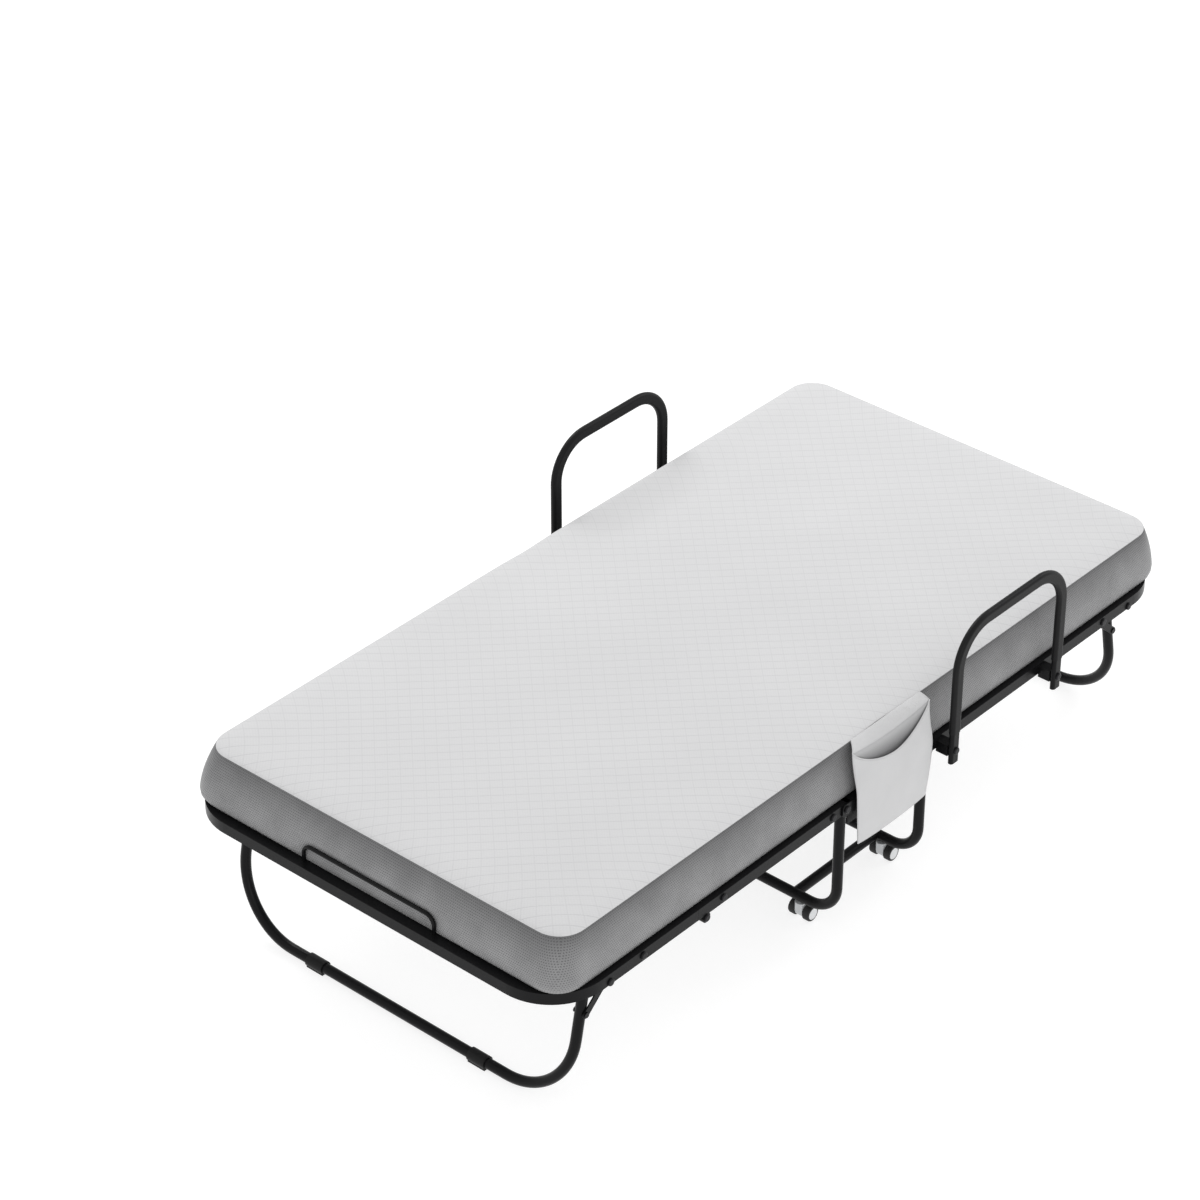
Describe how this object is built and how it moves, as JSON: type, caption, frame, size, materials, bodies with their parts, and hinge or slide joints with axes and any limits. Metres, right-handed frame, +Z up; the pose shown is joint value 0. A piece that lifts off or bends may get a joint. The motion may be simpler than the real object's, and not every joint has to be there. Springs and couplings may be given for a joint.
{
  "type": "folding cot",
  "caption": "Folding cot with hinged deck halves, folding braced end legs, arm hoops, a caster base, a foam mattress and a side pocket.",
  "frame": {"origin": "on the floor under the middle of the frame", "axes": "+Y towards the head end, +Z up, +X to the side with the pocket"},
  "size_m": [1.072, 1.933, 0.5983],
  "materials": {
    "frame_paint": "satin black powder coat",
    "wire": "satin black coated wire",
    "bolt_steel": "black plated steel",
    "black_plastic": "moulded black plastic",
    "grip_foam": "soft black vinyl sleeve",
    "mattress_fabric": "white quilted knit",
    "pocket_fabric": "white woven cloth",
    "caster_tyre": "black rubber tread",
    "caster_plastic": "pale grey plastic"
  },
  "bodies": {
    "base": {"base_side_rails": "frame_paint", "base_leg_foot": "frame_paint", "base_leg_head": "frame_paint", "base_spreader_bars": "frame_paint", "base_cross_tubes": "frame_paint", "base_wire_deck": "wire", "base_slats": "frame_paint", "fold_pivot_bolts": "bolt_steel", "storage_pocket": "pocket_fabric", "pocket_flap": "pocket_fabric", "mattress_fold_foot": "mattress_fabric", "mattress_fold_head": "mattress_fabric"},
    "foot_half": {"outer_frame_foot": "frame_paint", "inner_frame_foot": "frame_paint", "outer_deck_foot": "wire", "inner_deck_foot": "wire", "slats_foot": "frame_paint", "frame_bolts_foot": "bolt_steel", "bail_foot": "wire", "leg_brackets_foot": "frame_paint", "leg_bracket_bolts_foot": "bolt_steel", "mattress_foot": "mattress_fabric"},
    "foot_leg": {"end_leg_foot": "frame_paint", "leg_pads_foot": "black_plastic", "brace_leg_pins_foot": "bolt_steel"},
    "foot_brace_upper": {"brace_upper_foot": "frame_paint"},
    "foot_brace_lower": {"brace_lower_foot": "frame_paint"},
    "head_half": {"outer_frame_head": "frame_paint", "inner_frame_head": "frame_paint", "outer_deck_head": "wire", "inner_deck_head": "wire", "slats_head": "frame_paint", "frame_bolts_head": "bolt_steel", "bail_head": "wire", "leg_brackets_head": "frame_paint", "leg_bracket_bolts_head": "bolt_steel", "mattress_head": "mattress_fabric", "hoop_left": "frame_paint", "hoop_right": "frame_paint", "hoop_sleeves": "grip_foam", "hoop_spacers": "frame_paint", "hoop_bolts": "bolt_steel", "hoop_caps": "black_plastic"},
    "head_leg": {"end_leg_head": "frame_paint", "leg_pads_head": "black_plastic", "brace_leg_pins_head": "bolt_steel"},
    "head_brace_upper": {"brace_upper_head": "frame_paint"},
    "head_brace_lower": {"brace_lower_head": "frame_paint"},
    "caster_fork_foot_left": {"caster_housing_foot_left": "caster_plastic", "caster_axle_foot_left": "bolt_steel"},
    "caster_wheel_pair_foot_left": {"caster_wheels_foot_left": "caster_tyre"},
    "caster_fork_foot_right": {"caster_housing_foot_right": "caster_plastic", "caster_axle_foot_right": "bolt_steel"},
    "caster_wheel_pair_foot_right": {"caster_wheels_foot_right": "caster_tyre"},
    "caster_fork_head_left": {"caster_housing_head_left": "caster_plastic", "caster_axle_head_left": "bolt_steel"},
    "caster_wheel_pair_head_left": {"caster_wheels_head_left": "caster_tyre"},
    "caster_fork_head_right": {"caster_housing_head_right": "caster_plastic", "caster_axle_head_right": "bolt_steel"},
    "caster_wheel_pair_head_right": {"caster_wheels_head_right": "caster_tyre"}
  },
  "joints": [
    {"name": "foot_fold", "type": "hinge", "parent": "base", "child": "foot_half", "pos_m": [0, -0.13, 0.3185], "axis": [-1, 0, 0], "range_deg": [0, 90], "deforming": ["mattress_fold_foot"]},
    {"name": "foot_leg_fold", "type": "hinge", "parent": "foot_half", "child": "foot_leg", "pos_m": [0, -0.82, 0.312], "axis": [1, 0, 0], "range_deg": [0, 95]},
    {"name": "foot_brace_upper_turn", "type": "hinge", "parent": "foot_half", "child": "foot_brace_upper", "pos_m": [0, -0.7285, 0.3185], "axis": [1, 0, 0], "range_deg": [-34.9, 0]},
    {"name": "foot_brace_lower_turn", "type": "hinge", "parent": "foot_leg", "child": "foot_brace_lower", "pos_m": [0, -0.83817, 0.22174], "axis": [1, 0, 0], "range_deg": [0, 37.1]},
    {"name": "head_fold", "type": "hinge", "parent": "base", "child": "head_half", "pos_m": [0, 0.13, 0.3185], "axis": [1, 0, 0], "range_deg": [0, 90], "deforming": ["mattress_fold_head", "pocket_flap"]},
    {"name": "head_leg_fold", "type": "hinge", "parent": "head_half", "child": "head_leg", "pos_m": [0, 0.82, 0.312], "axis": [-1, 0, 0], "range_deg": [0, 95]},
    {"name": "head_brace_upper_turn", "type": "hinge", "parent": "head_half", "child": "head_brace_upper", "pos_m": [0, 0.7285, 0.3185], "axis": [-1, 0, 0], "range_deg": [-34.9, 0]},
    {"name": "head_brace_lower_turn", "type": "hinge", "parent": "head_leg", "child": "head_brace_lower", "pos_m": [0, 0.83817, 0.22174], "axis": [-1, 0, 0], "range_deg": [0, 37.1]},
    {"name": "swivel_foot_left", "type": "hinge", "parent": "base", "child": "caster_fork_foot_left", "pos_m": [-0.392, -0.131, 0.0425], "axis": [0, 0, 1], "continuous": true},
    {"name": "wheel_foot_left", "type": "hinge", "parent": "caster_fork_foot_left", "child": "caster_wheel_pair_foot_left", "pos_m": [-0.392, -0.123, 0.0175], "axis": [1, 0, 0], "continuous": true},
    {"name": "swivel_foot_right", "type": "hinge", "parent": "base", "child": "caster_fork_foot_right", "pos_m": [0.392, -0.131, 0.0425], "axis": [0, 0, 1], "continuous": true},
    {"name": "wheel_foot_right", "type": "hinge", "parent": "caster_fork_foot_right", "child": "caster_wheel_pair_foot_right", "pos_m": [0.392, -0.123, 0.0175], "axis": [1, 0, 0], "continuous": true},
    {"name": "swivel_head_left", "type": "hinge", "parent": "base", "child": "caster_fork_head_left", "pos_m": [-0.392, 0.131, 0.0425], "axis": [0, 0, 1], "continuous": true},
    {"name": "wheel_head_left", "type": "hinge", "parent": "caster_fork_head_left", "child": "caster_wheel_pair_head_left", "pos_m": [-0.392, 0.139, 0.0175], "axis": [1, 0, 0], "continuous": true},
    {"name": "swivel_head_right", "type": "hinge", "parent": "base", "child": "caster_fork_head_right", "pos_m": [0.392, 0.131, 0.0425], "axis": [0, 0, 1], "continuous": true},
    {"name": "wheel_head_right", "type": "hinge", "parent": "caster_fork_head_right", "child": "caster_wheel_pair_head_right", "pos_m": [0.392, 0.139, 0.0175], "axis": [1, 0, 0], "continuous": true}
  ],
  "couplings": [
    {"joint": "foot_brace_upper_turn", "follows": "foot_leg_fold", "ratio": -0.36683},
    {"joint": "foot_brace_lower_turn", "follows": "foot_leg_fold", "ratio": 0.38956},
    {"joint": "head_brace_upper_turn", "follows": "head_leg_fold", "ratio": -0.36683},
    {"joint": "head_brace_lower_turn", "follows": "head_leg_fold", "ratio": 0.38956}
  ]
}
